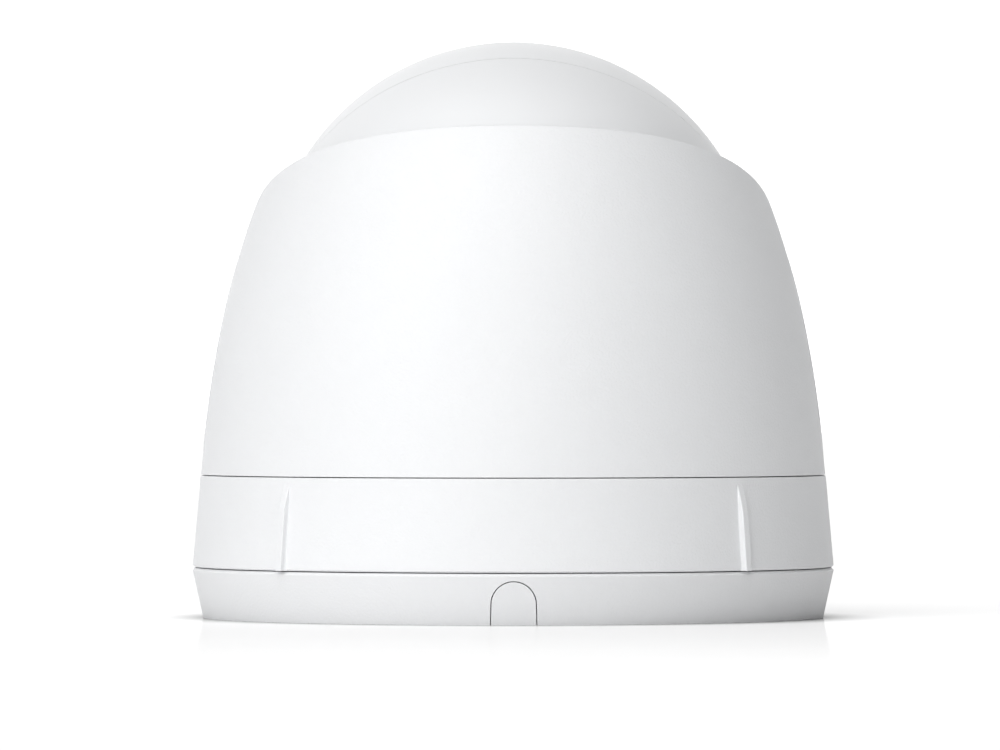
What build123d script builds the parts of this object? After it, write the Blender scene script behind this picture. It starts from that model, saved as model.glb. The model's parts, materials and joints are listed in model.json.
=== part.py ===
from build123d import *
import os
from math import cos, radians, sin, sqrt

# Compact network turret camera, in millimetres. +Z is up and away from the mounting surface,
# the origin is the centre of the flat underside, and the lens looks to -Y.

# Base ring and collar: outer radii and heights
PLATE_R_FOOT = 41.6
PLATE_R_TOP = 43.0
PLATE_TOP = 6.70
PLATE_FLOOR = 2.0
PLATE_R_INNER = 39.4
COLLAR_R_FOOT = 42.99
COLLAR_R_TOP = 41.95
COLLAR_FOOT = 6.85
COLLAR_TOP = 19.04
COLLAR_R_INNER = 39.7
COLLAR_FLOOR = (7.2, 9.0)

# Housing: a wall of revolution, cut above by a wide arc that is high at the back
HOUSING_FOOT = 19.18
HOUSING_WALL = 2.0
HOUSING_CURVE = [(41.88, HOUSING_FOOT), (39.48, 45.0), (34.16, 59.0), (28.65, 66.5)]
RIM_ARC = (56.4, -61.8, 130.0)          # y and z of the centre, radius
RIM_LIP = 2.4
RIM_ROUND = 0.35
PARTING_ARC = (-30.7, 35.2, 32.0)       # y and z of the centre, radius
PARTING_GAP = 0.12
BEZEL_PROUD = 0.12

# Ball: lens axis tipped up from the horizontal at rest
BALL_Z = 44.07
BALL_R = 33.1
BALL_WALL = 1.9
BALL_GAP = 0.35
LENS_ELEVATION = 28.0
SEAM = (2.96, 3.04)                     # rear and front faces of the ball seam, along the lens axis
BALL_BACK = -20.5
WINDOW_R = 22.2
WINDOW_DOME = 90.0
WINDOW_CREST = 26.4
WINDOW_THICK = 2.0
LENS_PORT_R = 8.5
EYE_W = 23.6                            # front edge of the ball shell round the window

# Cable exit and grip ribs
EXIT_WIDTH = 5.77
EXIT_TOP = 5.62
EXIT_GAP = 0.13
RIB_PROUD = 0.72
RIB_HALF = 0.54                         # half width at the crest's rounded edges
RIB_ROUND = 0.13
RIB_ANGLES = [45, 135, 225, 315]

# Fixing holes in the plate
FIX_CIRCLE_R = 30.0
FIX_HOLE_R = 2.25
CABLE_HOLE_R = 14.0

# Network jack group, turned about Z so that its plug space lies behind the cable exit
JACK_TURN = 18.0
BOARD_Z = (16.1, 17.1)

FIT = 0.06                              # radial clearance of a running fit
BALL_PLACE = Location((0, 0, BALL_Z), (90 - LENS_ELEVATION, 0, 0))
TURN = Location((0, 0, 0), (0, 0, JACK_TURN))
CLEAR_OF_ARMS = Location((0, 0, 0), (0, 0, 100))     # turns the join line of a round surface to the back
BASE = (Align.CENTER, Align.CENTER, Align.MIN)


def disc(radius, z0, z1):
    """Solid cylinder about Z."""
    return Location((0, 0, z0)) * Cylinder(radius, z1 - z0, align=BASE)


def ring(r_in, r_out, z0, z1):
    """Flat-ended tube about Z."""
    return disc(r_out, z0, z1) - disc(r_in, z0 - 1, z1 + 1)


def block(x0, x1, y0, y1, z0, z1):
    """Box between two corners."""
    return Location(((x0 + x1) / 2, (y0 + y1) / 2, (z0 + z1) / 2)) * Box(x1 - x0, y1 - y0, z1 - z0)


def at(radius, angle, z=0.0):
    """Place on a circle about Z, with local X pointing outwards."""
    return Location((radius * cos(radians(angle)), radius * sin(radians(angle)), z), (0, 0, angle))


def pegs(places, radius, z0, z1):
    """One cylinder at each place."""
    return [place * disc(radius, z0, z1) for place in places]


def spun(*edges):
    """Revolve a closed outline drawn in the XZ plane about Z."""
    return revolve(make_face(edges), Axis.Z)


def outline(points):
    """Closed polygon of (r, z) points, revolved about Z."""
    return revolve(make_face(Polyline(*[(r, 0, z) for r, z in points], close=True)), Axis.Z)


def x_cylinder(y, z, radius):
    """Long cylinder along X."""
    return Location((0, y, z), (0, 90, 0)) * Cylinder(radius, 120)


def arc_sector(r_in, r_out, z0, z1, a0, a1):
    """Part of a tube between two angles less than 180 degrees apart."""
    mid = (a0 + a1) / 2
    half = (a1 - a0) / 2
    reach = 2 * r_out
    wedge = extrude(make_face(Polyline(
        (0, 0), (reach * cos(radians(half)), -reach * sin(radians(half))), (3 * reach, 0),
        (reach * cos(radians(half)), reach * sin(radians(half))), close=True)), z1 - z0)
    return ring(r_in, r_out, z0, z1) & (Location((0, 0, z0), (0, 0, mid)) * wedge)


def flat_screw(places, shank_r, head_r, z_head, z_tip):
    """Countersunk screws: head flush at z_head, shank towards z_tip, with a cross recess."""
    up = 1 if z_head > z_tip else -1
    cone = head_r - shank_r
    points = [(0, z_head), (head_r, z_head), (shank_r, z_head - up * cone), (shank_r, z_tip), (0, z_tip)]
    body = outline(points)
    slot = 0.24 * head_r
    depth = 0.35 * cone
    z0, z1 = sorted((z_head - up * depth, z_head + up * 0.2))
    for turn in (0, 90):
        body -= Location((0, 0, 0), (0, 0, turn)) * block(-0.5 * head_r, 0.5 * head_r,
                                                          -slot / 2, slot / 2, z0, z1)
    return [place * body for place in places]


def pan_screw(places, shank_r, head_r, z_seat, head_height, z_tip):
    """Pan-head screws: the head stands on z_seat, away from the tip."""
    up = 1 if z_seat > z_tip else -1
    top = z_seat + up * head_height
    body = outline([(0, top), (0.8 * head_r, top), (head_r, z_seat + up * 0.5 * head_height),
                    (head_r, z_seat), (shank_r, z_seat), (shank_r, z_tip), (0, z_tip)])
    z0, z1 = sorted((top - up * 0.5 * head_height, top + up * 0.2))
    for turn in (0, 90):
        body -= Location((0, 0, 0), (0, 0, turn)) * block(-0.6 * head_r, 0.6 * head_r, -0.15, 0.15, z0, z1)
    return [place * body for place in places]


def collar_radius(z):
    return COLLAR_R_FOOT + (COLLAR_R_TOP - COLLAR_R_FOOT) * (z - COLLAR_FOOT) / (COLLAR_TOP - COLLAR_FOOT)


def inset(curve, depth):
    """Control points of a curve moved sideways, towards the axis for a positive depth."""
    moved = []
    for i, (r, z) in enumerate(curve):
        before = curve[max(i - 1, 0)]
        after = curve[min(i + 1, len(curve) - 1)]
        run = sqrt((after[0] - before[0]) ** 2 + (after[1] - before[1]) ** 2)
        moved.append((r - depth * (after[1] - before[1]) / run, z + depth * (after[0] - before[0]) / run))
    return moved


def housing_body(depth):
    """Solid inside the housing's wall line, inset by a depth and levelled at the housing's foot."""
    curve = [(r, 0, z) for r, z in inset(HOUSING_CURVE, depth)]
    low = curve[0][2]
    top = curve[-1][2]
    solid = spun(Bezier(*curve), Line(curve[-1], (0, 0, top)), Line((0, 0, top), (0, 0, low)),
                 Line((0, 0, low), curve[0]))
    return CLEAR_OF_ARMS * solid


def sphere_part(radius, w0, w1):
    """Slice of a ball about the origin between two heights."""
    return Sphere(radius) & disc(radius + 1, w0, w1)


def softened(solid, size, radius, height):
    """Rounds off the circles of one radius that lie at one height."""
    circles = solid.edges().filter_by(GeomType.CIRCLE)
    edges = [edge for edge in circles if abs(edge.radius - radius) < 0.01 and abs((edge @ 0).Z - height) < 0.01]
    return fillet(edges, size)


def placed(shapes, place):
    return [place * shape for shape in shapes]


parts = {}

# ---------------------------------------------------------------- mounting plate
exit_half = EXIT_WIDTH / 2


def exit_profile(half, top):
    """U-shaped tongue seen from the back, a little wider at its foot."""
    flare = 0.08
    spring = top - half
    face = make_face([
        Line((-half - flare, 0, -0.5), (half + flare, 0, -0.5)),
        Line((half + flare, 0, -0.5), (half, 0, spring)),
        ThreePointArc((half, 0, spring), (0, 0, top), (-half, 0, spring)),
        Line((-half, 0, spring), (-half - flare, 0, -0.5))])
    return face


def exit_prism(half, top, y0, y1):
    face = Location((0, y0, 0)) * exit_profile(half, top)
    return extrude(face, y1 - y0, dir=(0, 1, 0))


plate_outer = outline([(0, 0), (PLATE_R_FOOT, 0), (PLATE_R_TOP, PLATE_TOP - 0.35),
                       (PLATE_R_TOP - 0.3, PLATE_TOP), (0, PLATE_TOP)])
FIX_PLACES = [at(FIX_CIRCLE_R, angle) for angle in RIB_ANGLES]
HOOK_ANGLES = [30, 150, 270]
plate = plate_outer - disc(PLATE_R_INNER, PLATE_FLOOR, PLATE_TOP + 1)
for angle in HOOK_ANGLES:
    plate += arc_sector(36.9, PLATE_R_INNER + 0.5, 4.55, 6.1, angle - 9, angle + 9)
    plate += arc_sector(38.3, PLATE_R_INNER + 0.5, 2.0, 6.1, angle + 9, angle + 11)
plate -= disc(CABLE_HOLE_R, -1, 3)
for place in FIX_PLACES:
    plate -= place * disc(FIX_HOLE_R, -1, 3)
    plate -= place * Location((0, 0, PLATE_FLOOR - 1.2)) * Cone(FIX_HOLE_R, FIX_HOLE_R + 1.6, 1.6, align=BASE)
plate -= block(-exit_half, exit_half, 18.0, PLATE_R_INNER + 0.1, -1, PLATE_FLOOR + 1)
plate -= exit_prism(exit_half + EXIT_GAP, EXIT_TOP + EXIT_GAP, 38.0, 45.0)
GASKET_R = (34.6, 37.6)
plate -= ring(*GASKET_R, -1, 0.8) - block(-5, 5, 20, 45, -2, 2)
parts["mounting_plate"] = plate
parts["wall_gasket"] = ring(GASKET_R[0] + 0.05, GASKET_R[1] - 0.05, 0, 0.8) - block(-5.2, 5.2, 20, 45, -2, 2)

tongue = exit_prism(exit_half, EXIT_TOP, PLATE_R_INNER - 0.4, 45.0) & outline(
    [(0, 0), (PLATE_R_FOOT, 0), (PLATE_R_TOP, PLATE_TOP - 0.35), (0, PLATE_TOP - 0.35)])
tongue -= block(-1.9, 1.9, 30, 40.9, -1, 4.2)
tongue += block(-exit_half + 0.05, -exit_half + 0.95, 36.4, 40.0, 0.3, 2.8)
tongue += block(exit_half - 0.95, exit_half - 0.05, 36.4, 40.0, 0.3, 2.8)
parts["cable_exit_plug"] = tongue

# ---------------------------------------------------------------- camera base
JACK_X = (-16.2, -2.0)
JACK_Y = (19.4, 34.8)
JACK_Z = (4.1, 15.6)
PLUG_Y = (20.9, 33.3)
PLUG_Z = (5.3, 14.1)
WELL_WALL = 1.3
POCKET_X = (0.0, 17.5)
POCKET_Y = (19.5, 35.3)
POCKET_TOP = 14.5
BLOCK_TOP = 15.95

collar = outline([(0, COLLAR_FLOOR[0]), (COLLAR_R_INNER, COLLAR_FLOOR[0]), (COLLAR_R_INNER, COLLAR_FOOT),
                  (COLLAR_R_FOOT - 0.2, COLLAR_FOOT), (COLLAR_R_FOOT, COLLAR_FOOT + 0.2),
                  (COLLAR_R_TOP, COLLAR_TOP - 0.15), (COLLAR_R_TOP - 0.15, COLLAR_TOP), (0, COLLAR_TOP)])
collar -= disc(COLLAR_R_INNER, 16.4, COLLAR_TOP + 1)
collar -= disc(38.4, COLLAR_FLOOR[1], 17)
COVER_BOSSES = [at(36.6, angle) for angle in (0, 180, 270)]
BOARD_POSTS = [at(33.6, angle) for angle in (26, 168.5, 196)]
for boss in pegs(COVER_BOSSES, 2.6, COLLAR_FLOOR[1] - 0.5, 17.3):
    collar += boss
for post in pegs(BOARD_POSTS, 2.2, COLLAR_FLOOR[1] - 0.5, BOARD_Z[0]):
    collar += post
plug_block = block(JACK_X[1] + 0.6, POCKET_X[1] + WELL_WALL, POCKET_Y[0] - 1.2, 40.0, COLLAR_FLOOR[0], BLOCK_TOP)
jack_well = block(JACK_X[0] - 1.4, 0, JACK_Y[0] - 1.1, JACK_Y[1] + 1.4, 2.7, COLLAR_FLOOR[1]) & disc(39.0, 0, 20)
collar += (TURN * plug_block) & disc(COLLAR_R_INNER + 0.5, 0, 30)
collar += TURN * jack_well
collar -= TURN * block(*POCKET_X, *POCKET_Y, -1, POCKET_TOP)
collar -= TURN * block(JACK_X[0] - 0.1, JACK_X[1] + 0.6, JACK_Y[0] - 0.1, JACK_Y[1] + 0.1, JACK_Z[0] - 0.1, 20)
collar -= TURN * block(JACK_X[1], 0.5, *PLUG_Y, *PLUG_Z)
for angle in HOOK_ANGLES:
    collar += arc_sector(34.6, 36.4, 2.7, COLLAR_FLOOR[0] + 0.3, angle - 6, angle + 6)
    collar += arc_sector(34.6, 38.6, 2.7, 4.35, angle - 6, angle + 6)
for pin in pegs(COVER_BOSSES, 0.8, 11.0, 18.0):
    collar -= pin
for pin in pegs(BOARD_POSTS, 0.8, 11.0, 18.0):
    collar -= pin
RESET_PLACE = at(32.6, 212)
collar -= RESET_PLACE * disc(1.1, 0, 12)


def rib_section():
    """Steep rib with rounded crest edges and a hollow round at its foot; depth counts from the crest."""
    foot_round = 0.38
    flank = RIB_PROUD - 0.33
    root = RIB_HALF + 0.05 + foot_round
    crest = RIB_HALF - RIB_ROUND
    soft = 0.29 * RIB_ROUND
    hollow = 0.29 * foot_round
    half = [Line((0, 0), (crest, 0)),
            ThreePointArc((crest, 0), (RIB_HALF - soft, soft), (RIB_HALF, RIB_ROUND)),
            Line((RIB_HALF, RIB_ROUND), (RIB_HALF + 0.05, flank)),
            ThreePointArc((RIB_HALF + 0.05, flank), (root - foot_round + hollow, flank + foot_round - hollow),
                          (root, flank + foot_round)),
            Line((root, flank + foot_round), (root, 1.6)),
            Line((root, 1.6), (0, 1.6))]
    face = make_face(half + [Line((0, 1.6), (0, 0))])
    return face + mirror(face, about=Plane.YZ)


def grip_rib(angle):
    """Rib on the collar: even along its lower part, then running out into the wall."""
    turn_z = 13.2
    end_z = 18.4
    foot = (collar_radius(COLLAR_FOOT) + RIB_PROUD, 0, COLLAR_FOOT)
    knee = (collar_radius(turn_z) + RIB_PROUD, 0, turn_z)
    end = (collar_radius(end_z) - 0.1, 0, end_z)
    lower = Line(foot, knee)
    upper = TangentArc(knee, end, tangent=lower % 1)
    section = Plane(origin=foot, x_dir=(0, 1, 0), z_dir=lower % 0) * rib_section()
    return Location((0, 0, 0), (0, 0, angle)) * sweep(section, path=Wire([lower, upper]))


for angle in RIB_ANGLES:
    collar += grip_rib(angle) & disc(50, COLLAR_FOOT, COLLAR_TOP - 0.3)
parts["base_collar"] = collar

jack = block(*JACK_X, *JACK_Y, *JACK_Z) - block(JACK_X[1] - 11.4, 0, *PLUG_Y, PLUG_Z[0], 12.3)
jack -= block(JACK_X[1] - 11.4, 0, 24.1, 30.1, 12.0, PLUG_Z[1])
jack += block(-8.0, -4.0, 26.0, 28.2, JACK_Z[1] - 0.1, BOARD_Z[0] - 0.05)
parts["network_jack"] = TURN * jack
contacts = []
for i in range(8):
    y = 27.1 + (i - 3.5) * 1.02
    contacts.append(block(-12.6, -5.0, y - 0.2, y + 0.2, PLUG_Z[0], PLUG_Z[0] + 0.5))
parts["jack_contacts"] = Compound(placed(contacts, TURN))
parts["port_seal"] = TURN * (block(JACK_X[1], JACK_X[1] + 0.6, JACK_Y[0], JACK_Y[1], JACK_Z[0] + 0.1, JACK_Z[1])
                             - block(-3, 0, *PLUG_Y, *PLUG_Z))

BOARD_R = (28.8, 38.0)
board = arc_sector(*BOARD_R, *BOARD_Z, 18, 90)
for start, end in ((89, 161), (160, 232)):
    board += arc_sector(*BOARD_R, *BOARD_Z, start, end)
board -= COVER_BOSSES[1] * disc(2.8, 15, 18)
for pin in pegs(BOARD_POSTS, 0.9, 10, 20):
    board -= pin
parts["base_board"] = board
parts["base_board_screws"] = Compound(pan_screw(BOARD_POSTS, 0.75, 1.5, BOARD_Z[1], 0.15, 11.5))
parts["network_transformer"] = at(33.2, 152, 0) * block(-3.6, 3.6, -5.5, 5.5, 11.4, BOARD_Z[0])
parts["power_transformer"] = at(33.4, 47.5, 0) * (block(-4.2, 4.2, -5.0, 5.0, 13.9, BOARD_Z[0])
                                               + disc(3.6, 10.3, 13.9))
parts["base_connector"] = at(33.6, 214, 0) * (
    block(-5.0, 3.2, 4.8, 8.2, 13.6, BOARD_Z[0]) - block(-4.4, 2.6, 5.4, 7.6, 13.0, 15.2))

COVER_Z = (17.3, 18.9)
NECK_R = (24.3, 26.0)
cover = ring(NECK_R[1] + FIT, COLLAR_R_INNER - 0.1, *COVER_Z)
for place in COVER_BOSSES:
    cover -= place * disc(0.85, 15, 20)
    cover -= place * Location((0, 0, COVER_Z[1] - 0.85)) * Cone(0.85, 1.75, 0.9, align=BASE)
parts["base_cover"] = cover
parts["base_cover_screws"] = Compound(flat_screw(COVER_BOSSES, 0.78, 1.6, COVER_Z[1], 11.5))
parts["base_cover_seal"] = ring(38.5, COLLAR_R_INNER - 0.1, 16.4, COVER_Z[0]) - Compound(
    pegs(COVER_BOSSES, 2.65, 15, 18))

RESET_TRAVEL = 0.4
parts["reset_switch"] = RESET_PLACE * (block(-2.6, 2.6, -2.6, 2.6, 12.6, BOARD_Z[0])
                                       - disc(1.0, 12.0, 15.0))
parts["reset_button"] = RESET_PLACE * (disc(0.9, 9.6, 14.5) + disc(0.95, 12.9, 14.5))

# ---------------------------------------------------------------- housing
YOKE_Z = (19.25, 21.25)
HOOD_SCREWS = [at(37.0, angle) for angle in (40, 140, 220, 320)]
RING_SCREWS = [at(25.15, angle) for angle in (45, 135, 225, 315)]
ball_clear = Location((0, 0, BALL_Z)) * CLEAR_OF_ARMS * Sphere(BALL_R + BALL_GAP)
yoke = ring(NECK_R[0], 39.2, *YOKE_Z) + ring(*NECK_R, COVER_Z[0] - 0.1, YOKE_Z[1])
arm_room = housing_body(HOUSING_WALL + 0.3) & disc(60, YOKE_Z[1] - 0.5, BALL_Z + 5.5)
PIN_R = 2.0
for side in (-1, 1):
    arm = block(*sorted((side * 33.0, side * 40.0)), -6, 6, YOKE_Z[1] - 0.5, BALL_Z + 5.5)
    bearing = Location((side * 36.0, 0, BALL_Z), (0, 90, 0)) * Cylinder(PIN_R + FIT, 14.0)
    yoke += (arm & arm_room) - ball_clear - bearing
for place in HOOD_SCREWS:
    yoke -= place * disc(0.95, 15, 25)
    yoke -= place * Location((0, 0, YOKE_Z[0] - 0.05)) * Cone(1.95, 0.95, 1.0, align=BASE)
for place in RING_SCREWS:
    yoke -= place * disc(0.5, 15, 19.0)
parts["yoke_frame"] = yoke
parts["pan_washer"] = ring(27.5, 34.5, COVER_Z[1] + 0.08, YOKE_Z[0])
retainer = ring(NECK_R[0], 28.2, BOARD_Z[0] + 0.05, COVER_Z[0] - 0.1)
for place in RING_SCREWS:
    retainer -= place * disc(0.5, 15, 19)
    retainer -= place * Location((0, 0, BOARD_Z[0])) * Cone(0.8, 0.45, 0.35, align=BASE)
parts["pan_retaining_ring"] = retainer
parts["retaining_ring_screws"] = Compound(flat_screw(RING_SCREWS, 0.45, 0.72, BOARD_Z[0] + 0.05, 18.8))

friction = outline([(25.6, YOKE_Z[1]), (30.6, YOKE_Z[1]), (30.6, 24.6), (28.4, 24.6)]) - ball_clear
parts["ball_friction_ring"] = friction


def housing_shell(outer):
    """Housing wall with its lip, opened for the ball and for the yoke's arms."""
    under_rim = x_cylinder(*RIM_ARC)
    under_lip = x_cylinder(RIM_ARC[0], RIM_ARC[1], RIM_ARC[2] - RIM_LIP)
    cavity = housing_body(HOUSING_WALL) & under_lip
    cavity += disc(HOUSING_CURVE[0][0] - HOUSING_WALL, HOUSING_FOOT - 1, HOUSING_FOOT + 2)
    shell = (outer & under_rim) - cavity
    shell -= ball_clear
    return shell


def softened_rim(shell):
    """Rounds off the two long edges of the rim."""
    edges = []
    for edge in shell.edges():
        reach = [sqrt(((edge @ u).Y - RIM_ARC[0]) ** 2 + ((edge @ u).Z - RIM_ARC[1]) ** 2) for u in (0, 0.3, 0.7)]
        if edge.length > 10 and max(abs(distance - RIM_ARC[2]) for distance in reach) < 0.01:
            edges.append(edge)
    return fillet(edges, RIM_ROUND)


def bosses(places):
    """Screw bosses on the inside of the wall, with pilot holes from below."""
    posts = pegs(places, 2.7, YOKE_Z[1] + 0.02, 27.0)
    webs = [place * block(0, 3.0, -1.2, 1.2, YOKE_Z[1] + 0.02, 27.0) for place in places]
    solid = posts[0] + posts[1] + webs[0] + webs[1]
    solid = solid & housing_body(0.8)
    for pin in pegs(places, 0.8, 20, 26.2):
        solid -= pin
    return solid


outer_hood = housing_body(0)
hood = housing_shell(outer_hood) - x_cylinder(PARTING_ARC[0], PARTING_ARC[1], PARTING_ARC[2] + PARTING_GAP / 2)
hood = softened_rim(hood) + bosses(HOOD_SCREWS[:2])
parts["rear_hood"] = hood
bezel = housing_shell(housing_body(-BEZEL_PROUD) & disc(60, HOUSING_FOOT, 80))
bezel = bezel & x_cylinder(PARTING_ARC[0], PARTING_ARC[1], PARTING_ARC[2] - PARTING_GAP / 2)
bezel = softened_rim(bezel) + bosses(HOOD_SCREWS[2:])
parts["front_bezel"] = bezel
parts["hood_screws"] = Compound(flat_screw(HOOD_SCREWS, 0.75, 1.75, YOKE_Z[0], 25.8))

# ---------------------------------------------------------------- ball, drawn about its centre
INNER_R = BALL_R - BALL_WALL
FLANGE_R = 28.5
NECK = (26.9, FLANGE_R - FIT)
RING_W = (-2.6, -1.3)

rear = sphere_part(BALL_R, BALL_BACK, SEAM[0]) - sphere_part(INNER_R, BALL_BACK + 2.0, SEAM[0] + 1)
rear += sphere_part(BALL_R - 0.5, -1.2, SEAM[0]) - disc(FLANGE_R, -5, 5)
PROCESSOR_POSTS = [at(20.5, angle) for angle in (45, 135, 225, 315)]
for post in pegs(PROCESSOR_POSTS, 2.0, BALL_BACK + 1.0, -9.2):
    rear += post & sphere_part(BALL_R - 1, BALL_BACK, 0)
for pin in pegs(PROCESSOR_POSTS, 0.8, -16.0, 0):
    rear -= pin
rear -= disc(4.6, BALL_BACK - 1, BALL_BACK + 3)
TILT_AXIS = Location((0, 0, 0), (0, 90, 0))
rear -= TILT_AXIS * disc(PIN_R, -40, 40) - block(-30.6, 30.6, -5, 5, -5, 5)
parts["rear_ball_shell"] = rear
pins = []
for side in (-1, 1):
    pin = TILT_AXIS * disc(PIN_R, *sorted((side * 30.65, side * 35.3)))
    pins.append(pin)
parts["tilt_pins"] = Compound(pins)
gland = ring(1.9, 4.55, BALL_BACK - 0.2, BALL_BACK + 2.2) + ring(1.9, 5.8, BALL_BACK - 1.6, BALL_BACK - 0.05)
gland += ring(1.9, 5.4, BALL_BACK + 2.05, BALL_BACK + 3.2)
parts["cable_gland"] = gland
PROC_W = (-9.2, -7.8)
proc_board = disc(25.5, *PROC_W)
for pin in pegs(PROCESSOR_POSTS, 0.9, -12, 0):
    proc_board -= pin
parts["processor_board"] = proc_board
parts["processor_board_screws"] = Compound(pan_screw(PROCESSOR_POSTS, 0.75, 1.6, PROC_W[1], 0.9, -15.5))
parts["processor_chip"] = block(-6.5, 6.5, -6.5, 6.5, PROC_W[0] - 1.4, PROC_W[0])
parts["memory_chips"] = Compound([block(x - 3.5, x + 3.5, 9.5, 16.5, PROC_W[0] - 1.0, PROC_W[0]) for x in (-5, 5)])
parts["thermal_pad"] = block(-6.5, 6.5, -6.5, 6.5, PROC_W[0] - 2.0, PROC_W[0] - 1.4)
spreader = block(-10, 10, -9, 9, PROC_W[0] - 3.5, PROC_W[0] - 2.0)
for i in range(5):
    x = -8.0 + 4.0 * i
    spreader += block(x - 0.6, x + 0.6, -9, 9, PROC_W[0] - 5.4, PROC_W[0] - 3.4)
parts["heat_spreader"] = spreader

front = sphere_part(BALL_R, SEAM[1], EYE_W) - sphere_part(INNER_R, 0, 24.0)
front += sphere_part(BALL_R - 0.5, SEAM[1], SEAM[1] + 1.5) - disc(NECK[0], 0, 10)
front += ring(*NECK, RING_W[1], SEAM[1] + 0.5)
LEDGE_W = (19.3, 20.9)
front += sphere_part(BALL_R - 0.5, *LEDGE_W) - disc(19.8, 10, 30)
front -= disc(WINDOW_R + 0.1, LEDGE_W[1], 30)
LED_TABS = [at(18.0, 0), at(18.0, 180)]
for place in LED_TABS:
    front += place * block(-1.8, 3.5, -2.0, 2.0, *LEDGE_W)
SENSOR_POSTS = [at(23.0, angle) for angle in (30, 150, 270)]
for post in pegs(SENSOR_POSTS, 2.0, 1.25, 22.0):
    front += post & sphere_part(BALL_R - 1, 0, LEDGE_W[1])
for pin in pegs(SENSOR_POSTS, 0.8, 0, 8.0):
    front -= pin
for pin in pegs(LED_TABS, 0.65, 18, LEDGE_W[1] - 0.3):
    front -= pin
front -= ring(27.4, 29.0, 0.2, 1.6)
RING_PLACES = [at(27.65, angle) for angle in (45, 135, 225, 315)]
for pin in pegs(RING_PLACES, 0.4, -2.0, 0.05):
    front -= pin
front = softened(front, 0.3, sqrt(BALL_R ** 2 - EYE_W ** 2), EYE_W)
parts["front_ball_shell"] = front
parts["roll_o_ring"] = Location((0, 0, 0.9)) * Torus(27.93, 0.5)
roll_ring = ring(NECK[0], 30.2, *RING_W)
for place in RING_PLACES:
    roll_ring -= place * disc(0.4, -5, 0)
    roll_ring -= place * Location((0, 0, RING_W[0] - 0.05)) * Cone(0.75, 0.35, 0.4, align=BASE)
parts["roll_ring"] = roll_ring
parts["roll_ring_screws"] = Compound(flat_screw(RING_PLACES, 0.36, 0.66, RING_W[0], 0.0))

dome_centre = WINDOW_CREST - WINDOW_DOME
dome = Location((0, 0, dome_centre)) * Sphere(WINDOW_DOME)
dome_inner = Location((0, 0, dome_centre)) * Sphere(WINDOW_DOME - WINDOW_THICK)
pane = (disc(WINDOW_R, 15, 30) & dome) - dome_inner
MIC_PLACE = at(16.6, 270)
LIGHT_PLACE = at(16.6, 90)
window = pane - disc(LENS_PORT_R, 10, 40)
window -= MIC_PLACE * disc(0.45, 10, 40)
window -= LIGHT_PLACE * disc(0.75, 10, 40)
window = softened(window, 0.3, WINDOW_R, sqrt(WINDOW_DOME ** 2 - WINDOW_R ** 2) + dome_centre)
parts["front_window"] = window
parts["lens_cover_glass"] = pane & disc(LENS_PORT_R - 0.03, 10, 40)
parts["window_gasket"] = ring(20.2, WINDOW_R - 0.1, LEDGE_W[1], 21.5)

LED_W = (18.2, 19.3)
led_board = ring(9.2, 20.4, *LED_W)
for pin in pegs(LED_TABS, 0.75, 15, 25):
    led_board -= pin
parts["led_board"] = led_board
parts["led_board_screws"] = Compound(pan_screw(LED_TABS, 0.6, 1.3, LED_W[0], 0.8, LEDGE_W[1] - 0.4))
LED_PLACES = [at(14.6, angle) for angle in (35, 145, 215, 325)]
leds = []
for place in LED_PLACES:
    led = block(-1.75, 1.75, -1.75, 1.75, LED_W[1], LED_W[1] + 0.8)
    led += Location((0, 0, LED_W[1] + 0.6)) * (Sphere(1.4) & disc(2, 0, 2))
    leds.append(place * led)
parts["ir_leds"] = Compound(leds)
parts["microphone"] = MIC_PLACE * (block(-1.5, 1.5, -1.9, 1.9, LED_W[1], LED_W[1] + 1.0)
                                   - disc(0.3, LED_W[1] + 0.5, 25))
pipe = LIGHT_PLACE * (disc(1.3, LED_W[1], LED_W[1] + 1.2) + disc(0.7, LED_W[1], 24.6))
parts["status_light_pipe"] = pipe
parts["light_baffle"] = ring(7.8, 8.9, 19.5, 23.85)

HOLDER_W = (1.25, 10.5)
BARREL_R = 5.9
holder = block(-14, 14, -9, 9, *HOLDER_W) - block(-12.2, 12.2, -5.3, 5.3, 2.95, 4.75)
holder -= block(-5.6, 5.6, -4.6, 4.6, 0, 3.0)
holder -= disc(4.2, 3, 6.0)
holder -= disc(BARREL_R + 0.03, 5.6, 12)
holder -= block(11, 13.0, -5.0, 5.0, HOLDER_W[0] + 3.5, 20) & block(11, 13, -5.0, 5.0, 5.6, 20)
parts["lens_holder"] = holder
barrel = outline([(4.6, 6.2), (BARREL_R, 6.2), (BARREL_R, 14.0), (7.4, 16.0), (7.4, 22.6), (6.9, 22.9),
                  (6.2, 21.4), (4.9, 19.6), (4.6, 19.6)])
parts["lens_barrel"] = barrel
front_glass = (disc(4.9, 15, 25) & (Location((0, 0, 10.6)) * Sphere(10.6))) - disc(6, 10, 19.6)
parts["front_lens_element"] = disc(4.55, 17.2, 19.6) + front_glass
rear_glass = disc(4.5, 7.4, 10.4) - (Location((0, 0, 0.5)) * Sphere(8.0))
parts["rear_lens_element"] = rear_glass
SENSOR_W = (0.0, 1.2)
sensor_board = disc(25.4, *SENSOR_W)
for pin in pegs(SENSOR_POSTS, 0.9, -2, 3):
    sensor_board -= pin
parts["sensor_board"] = sensor_board
parts["sensor_board_screws"] = Compound(pan_screw(SENSOR_POSTS, 0.75, 1.6, SENSOR_W[0], 0.9, 7.5))
parts["image_sensor"] = block(-4.8, 4.8, -3.8, 3.8, SENSOR_W[1], 2.4)
actuator = block(-4.5, 4.5, 9.0, 14.5, 1.4, 7.4) - block(-3.9, 3.9, 13.9, 15.0, 2.0, 6.8)
parts["filter_actuator"] = actuator

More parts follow.
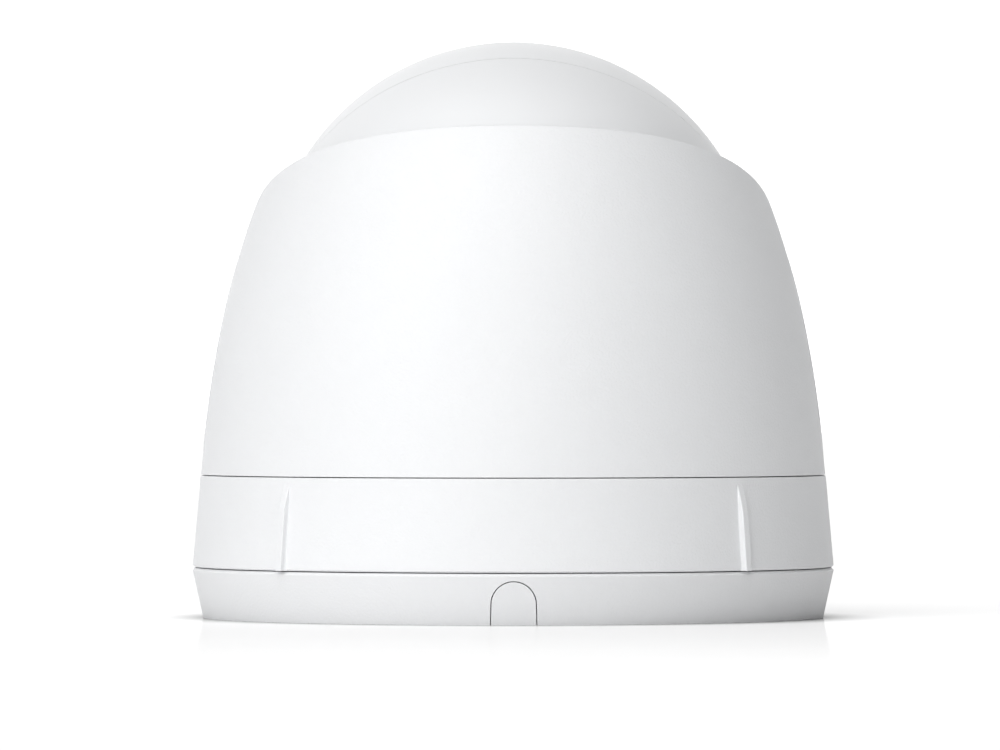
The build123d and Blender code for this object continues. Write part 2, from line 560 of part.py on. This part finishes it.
# Filter carriage: two panes side by side, one over the sensor at rest
FILTER_TRAVEL = 7.2
CARRIAGE_W = (3.1, 4.5)
pane_x = FILTER_TRAVEL / 2
carriage = block(-7.5, 7.5, -5.1, 5.1, *CARRIAGE_W)
PANES = {"ir_cut_glass": -pane_x, "clear_glass": pane_x}
glass_shapes = {}
for name, x in PANES.items():
    carriage -= block(x - 2.7, x + 2.7, -3.6, 3.6, CARRIAGE_W[0] - 1, CARRIAGE_W[1] + 1)
    carriage -= block(x - 3.1, x + 3.1, -4.0, 4.0, CARRIAGE_W[0] + 0.7, CARRIAGE_W[1] + 1)
    glass_shapes[name] = block(x - 3.05, x + 3.05, -3.95, 3.95, CARRIAGE_W[0] + 0.7, CARRIAGE_W[0] + 1.2)
shift = Location((pane_x, 0, 0))
parts["filter_carriage"] = shift * carriage
for name, shape in glass_shapes.items():
    parts[name] = shift * shape

BALL_NODES = ["rear_ball_shell", "tilt_pins", "cable_gland", "processor_board", "processor_board_screws",
              "processor_chip", "memory_chips", "thermal_pad", "heat_spreader", "front_ball_shell",
              "roll_o_ring", "roll_ring", "roll_ring_screws", "front_window", "lens_cover_glass", "window_gasket", "led_board",
              "led_board_screws", "ir_leds", "microphone", "status_light_pipe", "light_baffle",
              "lens_holder", "lens_barrel", "front_lens_element", "rear_lens_element", "sensor_board",
              "sensor_board_screws", "image_sensor", "filter_actuator", "filter_carriage",
              "ir_cut_glass", "clear_glass"]
for name in BALL_NODES:
    parts[name] = BALL_PLACE * parts[name]

os.makedirs("parts", exist_ok=True)
for name, shape in parts.items():
    export_step(shape, f"parts/{name}.step")
print(len(parts), "nodes; lens axis", [0, round(-cos(radians(LENS_ELEVATION)), 6),
                                       round(sin(radians(LENS_ELEVATION)), 6)])
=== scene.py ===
import json
import math

import bpy
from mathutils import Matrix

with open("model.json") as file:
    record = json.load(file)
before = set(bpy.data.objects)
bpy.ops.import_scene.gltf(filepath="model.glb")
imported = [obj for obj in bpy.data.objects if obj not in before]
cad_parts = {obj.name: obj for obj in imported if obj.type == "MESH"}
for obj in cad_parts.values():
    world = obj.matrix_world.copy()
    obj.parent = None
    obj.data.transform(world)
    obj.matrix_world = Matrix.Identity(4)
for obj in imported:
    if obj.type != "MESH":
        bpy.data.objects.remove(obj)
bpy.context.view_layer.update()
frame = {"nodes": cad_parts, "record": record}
nodes = frame["nodes"]
scene = bpy.context.scene
MM = 0.001

# Sizes on the surfaces
GRAIN = 0.34 * MM                          # spark-eroded grain of the white mouldings
EDGE_SOFT = 0.3 * MM                       # reach of rubbed edges on mouldings and rubber
EDGE_SHARP = 0.1 * MM                      # reach of bright edges on metal
VIA_GOLD = (0.72, 0.55, 0.25)

# Refractive indices
GLASS_IOR = 1.52
ACRYLIC_IOR = 1.49
COATING_IOR = 1.38

# Floor: distances are from the object's axis
BASE_R = 41.6 * MM
FLOOR_HALF = 4.0
FLOOR_DROP = 0.01 * MM
FLOOR_GLOW = 0.16
FLOOR_GLOSS = 0.28
FLOOR_GLOSS_ROUGHNESS = 0.06
POLISH_REACH = (48.0 * MM, 230.0 * MM)
# Painted shadow on the floor round the base: the reach over which the floor's colour darkens
PAINTED_SHADOW_REACH = (BASE_R, 52.0 * MM)
PAPER_DARK = (0.97, 0.97, 0.97)
PAPER_LIGHT = (0.98, 0.98, 0.98)
# Colour of the floor at the base, the darkest point of the painted shadow
PAINTED_SHADOW_COLOUR = (0.45, 0.45, 0.45)

# Soft boxes: azimuth (0 is the camera's side, 90 its left), elevation, strength, tightness
SOFT_BOXES = [(45, 12, 1.36, 6), (20, 55, 3.26, 6), (180, 10, 1.5, 4)]

# Camera: level, on the +Y side, looking to -Y
CAMERA_PLACE = (1.77 * MM, 1267.0 * MM, 32.5 * MM)
CAMERA_TURN = (math.radians(90), 0, math.radians(180))
LENS_LENGTH = 339.8                        # millimetres
SENSOR_WIDTH = 36.0                        # millimetres
FARTHEST_SEEN = 50.0

# ------------------------------------------------------------------ material parts


def darker(colour, share):
    return tuple(c * share for c in colour)


def brighter(colour, share):
    return tuple(min(1.0, c * share) for c in colour)


class Material:
    """A node material under construction, measured in object space."""

    def __init__(self, name):
        self.data = bpy.data.materials.new(name)
        self.data.use_nodes = True
        self.tree = self.data.node_tree
        self.shader = self.tree.nodes["Principled BSDF"]
        self.coords = self.node("ShaderNodeTexCoord").outputs["Object"]

    def node(self, kind, **settings):
        made = self.tree.nodes.new(kind)
        for name, value in settings.items():
            setattr(made, name, value)
        return made

    def link(self, source, target):
        self.tree.links.new(source, target)

    def stretched(self, scale, turn=(0, 0, 0)):
        """Coordinates scaled and turned, for marks that run one way."""
        mapping = self.node("ShaderNodeMapping")
        mapping.inputs["Scale"].default_value = scale
        mapping.inputs["Rotation"].default_value = turn
        self.link(self.coords, mapping.inputs["Vector"])
        return mapping.outputs["Vector"]

    def noise(self, size, detail=3.0, roughness=0.55, vector=None):
        """Noise with features about size metres across."""
        made = self.node("ShaderNodeTexNoise")
        made.inputs["Scale"].default_value = 1.0 / size
        made.inputs["Detail"].default_value = detail
        made.inputs["Roughness"].default_value = roughness
        self.link(vector or self.coords, made.inputs["Vector"])
        return made.outputs["Fac"]

    def cells(self, size):
        """Distance to the nearest of points about size metres apart."""
        made = self.node("ShaderNodeTexVoronoi")
        made.inputs["Scale"].default_value = 1.0 / size
        self.link(self.coords, made.inputs["Vector"])
        return made.outputs["Distance"]

    def remap(self, value, low, high, start=0.3, stop=0.7):
        """Maps start to stop onto low to high, and clamps beyond them."""
        made = self.node("ShaderNodeMapRange")
        ends = (("From Min", start), ("From Max", stop), ("To Min", low), ("To Max", high))
        for name, number in ends:
            made.inputs[name].default_value = number
        self.link(value, made.inputs["Value"])
        return made.outputs["Result"]

    def blend(self, factor, first, second):
        """Mixes two colours, each a triple or a socket."""
        made = self.node("ShaderNodeMix", data_type="RGBA")
        for name, colour in (("A", first), ("B", second)):
            if isinstance(colour, tuple):
                made.inputs[name].default_value = (*colour, 1)
            else:
                self.link(colour, made.inputs[name])
        self.link(factor, made.inputs["Factor"])
        return made.outputs["Result"]

    def edge_wear(self, reach):
        """About 1 along edges and 0 on flats, from the rounded normal."""
        bevel = self.node("ShaderNodeBevel", samples=4)
        bevel.inputs["Radius"].default_value = reach
        geometry = self.node("ShaderNodeNewGeometry")
        match = self.node("ShaderNodeVectorMath", operation="DOT_PRODUCT")
        self.link(bevel.outputs["Normal"], match.inputs[0])
        self.link(geometry.outputs["Normal"], match.inputs[1])
        return self.remap(match.outputs["Value"], 1.0, 0.0, 0.85, 0.999)

    def colour(self, source):
        self.link(source, self.shader.inputs["Base Color"])

    def drifting_colour(self, size, dark, light):
        """Base colour that drifts between two tones over size metres."""
        self.colour(self.blend(self.remap(self.noise(size), 0.0, 1.0), dark, light))

    def roughness(self, source):
        self.link(source, self.shader.inputs["Roughness"])

    def gloss(self, roughness, size, swing=0.1):
        """Roughness that drifts over the surface, as handling leaves it."""
        marks = self.noise(size, 4.0, 0.6)
        self.roughness(self.remap(marks, roughness * (1 - swing), roughness * (1 + swing)))

    def bump(self, *layers):
        """Stacks bump layers given as (height, depth in metres)."""
        normal = None
        for height, depth in layers:
            made = self.node("ShaderNodeBump")
            made.inputs["Distance"].default_value = depth
            self.link(height, made.inputs["Height"])
            if normal:
                self.link(normal, made.inputs["Normal"])
            normal = made.outputs["Normal"]
        self.link(normal, self.shader.inputs["Normal"])

    def finished(self, **values):
        """Sets uniform values on the shader and gives the material."""
        for name, value in values.items():
            self.shader.inputs[name.replace("_", " ")].default_value = value
        return self.data


# ------------------------------------------------------------------ kinds of material


def moulded(name, colour, roughness, grain, depth, drift=0.012, wear=None):
    """Moulded plastic: eroded grain, slight drift of tone, gloss that varies, rubbed edges."""
    m = Material(name)
    tone = m.remap(m.noise(0.018), 0.0, 1.0)
    shade = m.blend(tone, darker(colour, 1 - drift), colour)
    if wear:
        shade = m.blend(m.edge_wear(EDGE_SOFT), shade, wear)
    m.colour(shade)
    m.gloss(roughness, 0.005, 0.08)
    m.bump((m.noise(0.02), depth * 2), (m.noise(grain, 2.0, 0.5), depth))
    return m.finished()


def metal(name, colour, roughness, stretch=(1, 1, 14)):
    """Bare metal: marks of the tool along one way, cloudy gloss, brighter edges."""
    m = Material(name)
    lines = m.noise(0.0006, 4.0, 0.7, m.stretched(stretch))
    shade = m.blend(lines, darker(colour, 0.82), colour)
    m.colour(m.blend(m.edge_wear(EDGE_SHARP), shade, brighter(colour, 1.25)))
    m.gloss(roughness, 0.002, 0.25)
    m.bump((lines, 1.5e-6))
    return m.finished(Metallic=1.0)


def glass(name, colour, roughness, film=0.0):
    """Optical glass with a slight haze and a coating film nanometres thick."""
    m = Material(name)
    m.drifting_colour(0.004, darker(colour, 0.985), colour)
    m.roughness(m.remap(m.noise(0.004), roughness * 0.8, roughness * 1.2))
    m.bump((m.noise(0.02), 2e-7))
    return m.finished(Transmission_Weight=1.0, IOR=GLASS_IOR, Thin_Film_Thickness=film,
                      Thin_Film_IOR=COATING_IOR)


def circuit(name, resist):
    """Circuit board: solder resist over runs of copper, with plated vias."""
    m = Material(name)
    runs = m.node("ShaderNodeTexBrick")
    runs.inputs["Scale"].default_value = 260.0
    runs.inputs["Mortar Size"].default_value = 0.035
    runs.inputs["Brick Width"].default_value = 0.9
    m.link(m.stretched((1, 1, 1), (0.1, 0.05, 0.3)), runs.inputs["Vector"])
    copper = m.remap(runs.outputs["Fac"], 0.0, 1.0, 0.0, 1.0)
    covered = m.blend(copper, resist, brighter(resist, 2.1))
    vias = m.remap(m.cells(0.0026), 1.0, 0.0, 0.08, 0.11)
    m.colour(m.blend(vias, covered, VIA_GOLD))
    m.gloss(0.34, 0.002, 0.2)
    m.bump((copper, 1.8e-5), (m.noise(0.0008), 4e-6))
    return m.finished()


def smoked_window(name):
    """Smoked acrylic window: deep black gloss with wipe marks."""
    m = Material(name)
    m.drifting_colour(0.01, (0.004, 0.004, 0.0045), (0.007, 0.007, 0.008))
    wipes = m.noise(0.006, 5.0, 0.65, m.stretched((1, 5, 1), (0, 0, 0.5)))
    m.roughness(m.remap(wipes, 0.035, 0.075))
    m.bump((m.noise(0.012), 3e-6))
    return m.finished(IOR=ACRYLIC_IOR)


def rubber(name, colour, grain, depth):
    """Rubber or foam: open matt surface with pale dust on its edges."""
    m = Material(name)
    tone = m.remap(m.noise(0.006), 0.0, 1.0)
    shade = m.blend(tone, darker(colour, 0.8), colour)
    m.colour(m.blend(m.edge_wear(EDGE_SOFT), shade, brighter(colour, 1.8)))
    m.gloss(0.82, 0.003)
    m.bump((m.cells(grain), depth))
    return m.finished()


def image_sensor(name):
    """Image sensor: fine rows on a dark die with a violet tinge, under glass."""
    m = Material(name)
    rows = m.node("ShaderNodeTexWave")
    rows.inputs["Scale"].default_value = 9000.0
    m.link(m.coords, rows.inputs["Vector"])
    m.colour(m.blend(rows.outputs["Fac"], (0.02, 0.016, 0.045), (0.035, 0.03, 0.075)))
    m.gloss(0.12, 0.002, 0.3)
    m.bump((rows.outputs["Fac"], 3e-7))
    return m.finished(Coat_Weight=1.0, Coat_Roughness=0.03)


# Name: kind of material, then what that kind takes
MATERIALS = {
    "shell_white": (moulded, (0.80, 0.808, 0.82), 0.5, GRAIN, 5e-5, 0.012, (0.83, 0.838, 0.85)),
    # plate_white is shell_white a shade darker: painted shade for the base ring, which faces a
    # little down
    "plate_white": (moulded, (0.79, 0.797, 0.808), 0.5, GRAIN, 4e-5, 0.012, (0.82, 0.827, 0.838)),
    "ball_white": (moulded, (0.80, 0.808, 0.818), 0.4, 0.0006, 3e-6),
    "window_black": (smoked_window,),
    "clear_glass": (glass, (0.97, 0.98, 1.0), 0.004),
    "lens_glass": (glass, (0.80, 0.84, 0.98), 0.004, 430.0),
    "filter_glass": (glass, (0.55, 0.85, 0.95), 0.02, 380.0),
    "lens_black": (metal, (0.035, 0.035, 0.037), 0.42),
    "black_plastic": (moulded, (0.022, 0.022, 0.023), 0.5, 0.0003, 9e-6, 0.2, (0.05, 0.05, 0.05)),
    "frame_grey": (moulded, (0.09, 0.09, 0.095), 0.55, 0.0004, 1.4e-5, 0.12, (0.14, 0.14, 0.145)),
    "rubber_black": (rubber, (0.016, 0.016, 0.016), 0.0004, 1.2e-5),
    "foam_grey": (rubber, (0.17, 0.17, 0.18), 0.0009, 1.5e-4),
    "washer_white": (moulded, (0.74, 0.74, 0.71), 0.35, 0.0008, 3e-6, 0.03),
    "circuit_board": (circuit, (0.012, 0.085, 0.045)),
    "chip_black": (moulded, (0.017, 0.017, 0.018), 0.55, 0.00025, 5e-6, 0.2, (0.04, 0.04, 0.04)),
    "sensor_dark": (image_sensor,),
    "screw_steel": (metal, (0.60, 0.60, 0.61), 0.28),
    "jack_shield": (metal, (0.66, 0.66, 0.68), 0.24, (1, 9, 1)),
    "contact_gold": (metal, (0.92, 0.68, 0.30), 0.2),
    "spreader_aluminium": (metal, (0.74, 0.75, 0.76), 0.34, (1, 1, 18)),
    "led_clear": (moulded, (0.50, 0.52, 0.58), 0.12, 0.001, 1e-6, 0.08),
}

made_materials = {name: kind(name, *values) for name, (kind, *values) in MATERIALS.items()}
for part in frame["record"]["subparts"]:
    mesh = nodes[part["node"]].data
    mesh.materials.clear()
    mesh.materials.append(made_materials[part["material_slot"]])

# ------------------------------------------------------------------ light, floor and camera


def soft_box(tree, azimuth, elevation, strength, tightness):
    """Radiance of one soft box on the studio's walls."""
    turn = math.radians(azimuth)
    lift = math.radians(elevation)
    towards = (math.sin(turn) * math.cos(lift), math.cos(turn) * math.cos(lift), math.sin(lift))
    facing = tree.nodes.new("ShaderNodeVectorMath")
    facing.operation = "DOT_PRODUCT"
    facing.inputs[1].default_value = towards
    way = tree.nodes.new("ShaderNodeTexCoord").outputs["Generated"]
    tree.links.new(way, facing.inputs[0])
    value = facing.outputs["Value"]
    for operation, number in (("MAXIMUM", 0.0), ("POWER", tightness), ("MULTIPLY", strength)):
        step = tree.nodes.new("ShaderNodeMath")
        step.operation = operation
        step.inputs[1].default_value = number
        tree.links.new(value, step.inputs[0])
        value = step.outputs["Value"]
    return value


def studio(boxes):
    """Soft studio light from a few broad soft boxes that overlap."""
    world = bpy.data.worlds.new("studio")
    world.use_nodes = True
    tree = world.node_tree
    total, *others = [soft_box(tree, *box) for box in boxes]
    for value in others:
        step = tree.nodes.new("ShaderNodeMath")
        step.operation = "ADD"
        tree.links.new(total, step.inputs[0])
        tree.links.new(value, step.inputs[1])
        total = step.outputs["Value"]
    tree.links.new(total, tree.nodes["Background"].inputs["Strength"])
    tree.nodes["Background"].inputs["Color"].default_value = (1, 1, 1, 1)
    scene.world = world


def floor_material():
    """White sheet lit a little from beneath, polished near the object, with a shadow painted
    where they meet: its colour darkens and its glow fades there.
    """
    m = Material("floor_white")
    m.tree.nodes.remove(m.shader)
    away = m.node("ShaderNodeVectorMath", operation="LENGTH")
    m.link(m.coords, away.inputs[0])
    distance = away.outputs["Value"]
    # Mask of the painted shadow: 1 at the base, 0 at the far end of its reach
    near = m.node("ShaderNodeMath", operation="POWER")
    m.link(m.remap(distance, 1.0, 0.0, *PAINTED_SHADOW_REACH), near.inputs[0])
    near.inputs[1].default_value = 2.0
    painted_shadow = near.outputs["Value"]

    matt = m.node("ShaderNodeBsdfDiffuse")
    paper = m.blend(m.noise(0.3), PAPER_DARK, PAPER_LIGHT)
    # Painted shadow: the sheet's colour darkens towards the base of the object
    m.link(m.blend(painted_shadow, paper, PAINTED_SHADOW_COLOUR), matt.inputs["Color"])
    glow = m.node("ShaderNodeEmission")
    # The glow fades to nothing at the base, so that the painted shadow stays dark
    m.link(m.remap(painted_shadow, FLOOR_GLOW, 0.0, 0.0, 1.0), glow.inputs["Strength"])
    lit = m.node("ShaderNodeAddShader")
    m.link(matt.outputs["BSDF"], lit.inputs[0])
    m.link(glow.outputs["Emission"], lit.inputs[1])
    gloss = m.node("ShaderNodeBsdfGlossy")
    gloss.inputs["Roughness"].default_value = FLOOR_GLOSS_ROUGHNESS
    mix = m.node("ShaderNodeMixShader")
    m.link(m.remap(distance, FLOOR_GLOSS, 0.0, *POLISH_REACH), mix.inputs["Fac"])
    m.link(lit.outputs["Shader"], mix.inputs[1])
    m.link(gloss.outputs["BSDF"], mix.inputs[2])
    m.link(mix.outputs["Shader"], m.tree.nodes["Material Output"].inputs["Surface"])
    return m.data


def floor(half):
    """Square sheet a hair under the object, as staging."""
    mesh = bpy.data.meshes.new("floor")
    corners = [(-half, -half, 0), (half, -half, 0), (half, half, 0), (-half, half, 0)]
    mesh.from_pydata(corners, [], [(0, 1, 2, 3)])
    mesh.materials.append(floor_material())
    sheet = bpy.data.objects.new("floor", mesh)
    sheet.location.z = -FLOOR_DROP
    scene.collection.objects.link(sheet)


def add_camera():
    """Long lens from far off, which keeps the ellipses of the rims almost flat."""
    lens = bpy.data.cameras.new("camera")
    lens.lens = LENS_LENGTH
    lens.sensor_width = SENSOR_WIDTH
    lens.clip_end = FARTHEST_SEEN
    camera = bpy.data.objects.new("camera", lens)
    camera.location = CAMERA_PLACE
    camera.rotation_euler = CAMERA_TURN
    scene.collection.objects.link(camera)
    scene.camera = camera


floor(FLOOR_HALF)
studio(SOFT_BOXES)
add_camera()
scene.view_settings.view_transform = "Standard"
